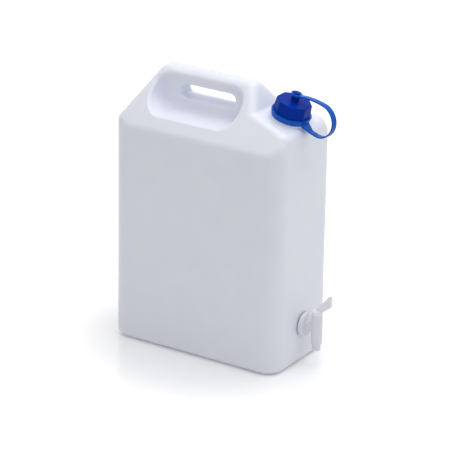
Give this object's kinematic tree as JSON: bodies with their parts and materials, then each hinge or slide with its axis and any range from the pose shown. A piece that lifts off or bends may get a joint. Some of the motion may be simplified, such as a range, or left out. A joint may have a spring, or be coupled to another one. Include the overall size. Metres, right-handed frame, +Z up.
{
  "type": "carboy with spigot",
  "caption": "Blow-moulded water canister with integral grip, tilted neck with screw cap on a tether, and a drain tap low on one end.",
  "frame": {"origin": "centre of the tank's base, on the surface that it stands on", "axes": "+X along the wide face towards the tap, +Y towards the back, +Z up"},
  "size_m": [0.3407, 0.156, 0.421],
  "materials": {
    "tank_plastic": "natural milky polyethylene, satin",
    "tether_plastic": "blue soft polyethylene, satin gloss",
    "cap_plastic": "blue polyethylene, gloss",
    "liner_foam": "white foam disc",
    "gasket_rubber": "dark grey rubber",
    "tap_plastic": "natural white polyethylene",
    "tap_plug_plastic": "natural white polyethylene"
  },
  "bodies": {
    "canister": {"canister_body": "tank_plastic", "tap_gasket": "gasket_rubber", "tap_body": "tap_plastic", "cap_tether": "tether_plastic"},
    "cap_seal": {"cap_liner": "liner_foam"},
    "cap": {"screw_cap": "cap_plastic"},
    "tap_valve": {"tap_plug": "tap_plug_plastic"}
  },
  "joints": [
    {"name": "cap_lift", "type": "slide", "parent": "canister", "child": "cap_seal", "axis": [0.2588, 0, 0.9659], "range_m": [0, 0.006], "deforming": ["cap_tether"]},
    {"name": "cap_turn", "type": "hinge", "parent": "cap_seal", "child": "cap", "pos_m": [0.1166, 0, 0.3847], "axis": [0.2588, 0, 0.9659], "range_deg": [0, 540]},
    {"name": "tap_turn", "type": "hinge", "parent": "canister", "child": "tap_valve", "pos_m": [0.1695, 0, 0.0615], "axis": [0, 0, 1], "range_deg": [0, 90]}
  ],
  "couplings": [
    {"joint": "cap_lift", "follows": "cap_turn", "m_per_rad": 0.00063661}
  ]
}
